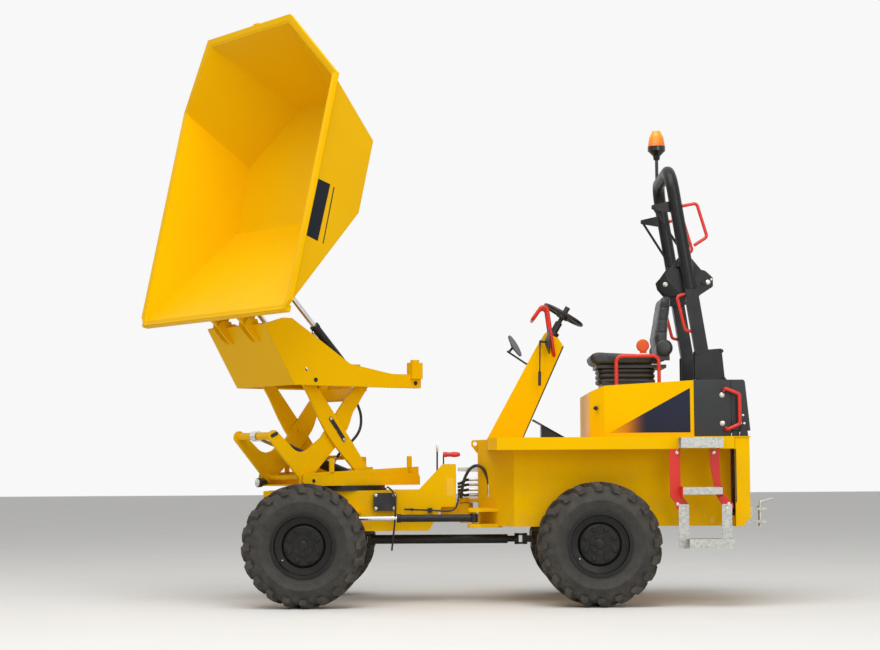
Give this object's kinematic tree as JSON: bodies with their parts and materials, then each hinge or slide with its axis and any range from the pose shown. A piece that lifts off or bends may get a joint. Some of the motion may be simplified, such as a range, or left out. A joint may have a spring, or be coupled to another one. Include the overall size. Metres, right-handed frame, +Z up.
{
  "type": "high-lift swivel site dumper",
  "caption": "Articulated site dumper with a scissor-lifted, slewing and tipping skip in front, a driver's seat, folding roll bar and lugged wheels.",
  "frame": {"origin": "on the ground below the middle of the machine's outline as it stands, skip slewed, raised and tipped", "axes": "+X forward, +Y to the driver's left, +Z up"},
  "size_m": [4.571, 2.3003, 4.0677],
  "materials": {
    "yellow_paint": "gloss golden yellow enamel",
    "charcoal_paint": "satin charcoal enamel",
    "red_handle": "red coated grab rail",
    "black_machined": "black oiled ring",
    "chrome_rod": "hard chromed and ground",
    "galvanised": "galvanised serrated tread",
    "tyre": "dusty black rubber",
    "rim": "satin black wheel enamel",
    "seat_vinyl": "black moulded vinyl",
    "wheel_grip": "black moulded grip",
    "amber_lens": "amber beacon lens",
    "engine_iron": "plain block"
  },
  "bodies": {
    "rear_chassis": {"armrest_hoops": "red_handle", "column_guard": "red_handle", "deck": "yellow_paint", "engine_block": "engine_iron", "engine_cover": "yellow_paint", "grab_handles": "red_handle", "ladder": "galvanised", "ladder_rails": "red_handle", "lid_brackets": "charcoal_paint", "lower_step": "galvanised", "mirrors": "charcoal_paint", "pedal_box": "charcoal_paint", "rear_axle": "charcoal_paint", "rear_cover": "charcoal_paint", "rear_frame": "yellow_paint", "rops_lower": "charcoal_paint", "seat_back": "seat_vinyl", "seat_base": "charcoal_paint", "seat_cushion": "seat_vinyl", "steering_column": "yellow_paint", "steering_stem": "wheel_grip", "tow_hitch": "galvanised", "tow_pin": "chrome_rod"},
    "front_chassis": {"front_frame": "yellow_paint", "front_axle": "charcoal_paint", "slew_ring_lower": "black_machined", "slew_motor": "charcoal_paint"},
    "slewing_base": {"slew_ring_upper": "black_machined", "slew_base": "yellow_paint"},
    "inner_arms": {"inner_arms": "yellow_paint"},
    "outer_arms": {"outer_arms": "yellow_paint"},
    "top_frame": {"top_frame": "yellow_paint"},
    "skip": {"skip": "yellow_paint"},
    "lift_barrel": {"lift_barrel": "black_machined"},
    "lift_rod": {"lift_rod": "chrome_rod"},
    "tip_barrels": {"tip_barrels": "black_machined"},
    "tip_rods": {"tip_rods": "chrome_rod"},
    "steer_barrel": {"steer_barrel": "black_machined"},
    "steer_rod": {"steer_rod": "chrome_rod"},
    "shaft_spline": {"shaft_spline": "black_machined"},
    "shaft_tube": {"shaft_tube": "black_machined"},
    "rops_upper": {"rops_hoop": "charcoal_paint", "beacon": "amber_lens", "rops_handle": "red_handle"},
    "rear_lid": {"rear_lid": "charcoal_paint"},
    "steering_wheel": {"steering_wheel": "wheel_grip"},
    "wheel_front_left": {"tyre_front_left": "tyre", "rim_front_left": "rim"},
    "wheel_front_right": {"tyre_front_right": "tyre", "rim_front_right": "rim"},
    "wheel_rear_left": {"tyre_rear_left": "tyre", "rim_rear_left": "rim"},
    "wheel_rear_right": {"tyre_rear_right": "tyre", "rim_rear_right": "rim"}
  },
  "joints": [
    {"name": "steering", "type": "hinge", "parent": "rear_chassis", "child": "front_chassis", "pos_m": [-0.061, -0.275, 0.64], "axis": [0, 0, 1], "range_deg": [-33, 33]},
    {"name": "slewing", "type": "hinge", "parent": "front_chassis", "child": "slewing_base", "pos_m": [0.841, -0.275, 0.795], "axis": [0, 0, 1], "range_deg": [-130, 50]},
    {"name": "lift", "type": "hinge", "parent": "slewing_base", "child": "inner_arms", "pos_m": [1.20104, 0.02711, 0.885], "axis": [-0.6428, 0.766, 0], "range_deg": [-45, 0]},
    {"name": "scissor", "type": "hinge", "parent": "inner_arms", "child": "outer_arms", "pos_m": [0.99824, -0.14306, 1.22385], "axis": [-0.6428, 0.766, 0], "range_deg": [0, 90]},
    {"name": "levelling", "type": "hinge", "parent": "outer_arms", "child": "top_frame", "pos_m": [1.20104, 0.02711, 1.56269], "axis": [-0.6428, 0.766, 0], "range_deg": [-45, 0]},
    {"name": "tipping", "type": "hinge", "parent": "top_frame", "child": "skip", "pos_m": [1.54193, 0.31315, 1.95], "axis": [-0.6428, 0.766, 0], "range_deg": [-70, 0]},
    {"name": "lift_barrel_eye", "type": "hinge", "parent": "slewing_base", "child": "lift_barrel", "pos_m": [0.75674, -0.34571, 0.893], "axis": [-0.6428, 0.766, 0], "range_deg": [-15.47, 0.01]},
    {"name": "lift_rod_slide", "type": "slide", "parent": "lift_barrel", "child": "lift_rod", "axis": [0.7254, 0.6087, 0.3214], "range_m": [-0.21045, 0.0001]},
    {"name": "tip_barrel_eyes", "type": "hinge", "parent": "top_frame", "child": "tip_barrels", "pos_m": [0.90228, -0.22358, 1.605], "axis": [-0.6428, 0.766, 0], "range_deg": [-0.01, 14.44]},
    {"name": "tip_rod_slide", "type": "slide", "parent": "tip_barrels", "child": "tip_rods", "axis": [0.5355, 0.4493, 0.7151], "range_m": [-0.38553, 0.0001]},
    {"name": "steer_barrel_eye", "type": "hinge", "parent": "rear_chassis", "child": "steer_barrel", "pos_m": [-0.125, 0.145, 0.596], "axis": [0, 0, 1], "range_deg": [-28.72, 28.72]},
    {"name": "steer_rod_slide", "type": "slide", "parent": "steer_barrel", "child": "steer_rod", "axis": [1, 0, 0], "range_m": [-0.23086, 0.23086]},
    {"name": "shaft_rear_joint", "type": "hinge", "parent": "rear_chassis", "child": "shaft_spline", "pos_m": [-0.492, -0.275, 0.436], "axis": [0, 0, 1], "range_deg": [-20.65, 20.65]},
    {"name": "shaft_front_joint", "type": "hinge", "parent": "front_chassis", "child": "shaft_tube", "pos_m": [0.659, -0.275, 0.436], "axis": [0, 0, 1], "range_deg": [-12.37, 12.37]},
    {"name": "roll_bar_fold", "type": "hinge", "parent": "rear_chassis", "child": "rops_upper", "pos_m": [-1.757, -0.275, 2.24], "axis": [0, -1, 0], "range_deg": [0, 100]},
    {"name": "rear_lid_hinge", "type": "hinge", "parent": "rear_chassis", "child": "rear_lid", "pos_m": [-1.985, -0.275, 1.212], "axis": [0, -1, 0], "range_deg": [0, 70]},
    {"name": "steering_wheel_turn", "type": "hinge", "parent": "rear_chassis", "child": "steering_wheel", "pos_m": [-0.788, -0.275, 2.048], "axis": [-0.5, 0, 0.866], "continuous": true},
    {"name": "wheel_front_left_turn", "type": "hinge", "parent": "front_chassis", "child": "wheel_front_left", "pos_m": [1.038, 0.455, 0.4225], "axis": [0, 1, 0], "continuous": true},
    {"name": "wheel_front_right_turn", "type": "hinge", "parent": "front_chassis", "child": "wheel_front_right", "pos_m": [1.038, -1.005, 0.4225], "axis": [0, 1, 0], "continuous": true},
    {"name": "wheel_rear_left_turn", "type": "hinge", "parent": "rear_chassis", "child": "wheel_rear_left", "pos_m": [-0.976, 0.455, 0.4225], "axis": [0, 1, 0], "continuous": true},
    {"name": "wheel_rear_right_turn", "type": "hinge", "parent": "rear_chassis", "child": "wheel_rear_right", "pos_m": [-0.976, -1.005, 0.4225], "axis": [0, 1, 0], "continuous": true}
  ],
  "couplings": [
    {"joint": "scissor", "follows": "lift", "ratio": -2},
    {"joint": "levelling", "follows": "lift", "ratio": 1},
    {"joint": "lift_barrel_eye", "follows": "lift", "ratio": 0.34365},
    {"joint": "lift_rod_slide", "follows": "lift", "m_per_rad": 0.26783},
    {"joint": "tip_barrel_eyes", "follows": "tipping", "ratio": -0.20609},
    {"joint": "tip_rod_slide", "follows": "tipping", "m_per_rad": 0.31548},
    {"joint": "steer_barrel_eye", "follows": "steering", "ratio": 0.87},
    {"joint": "steer_rod_slide", "follows": "steering", "m_per_rad": -0.40064},
    {"joint": "shaft_rear_joint", "follows": "steering", "ratio": 0.62554},
    {"joint": "shaft_front_joint", "follows": "steering", "ratio": -0.37446}
  ]
}
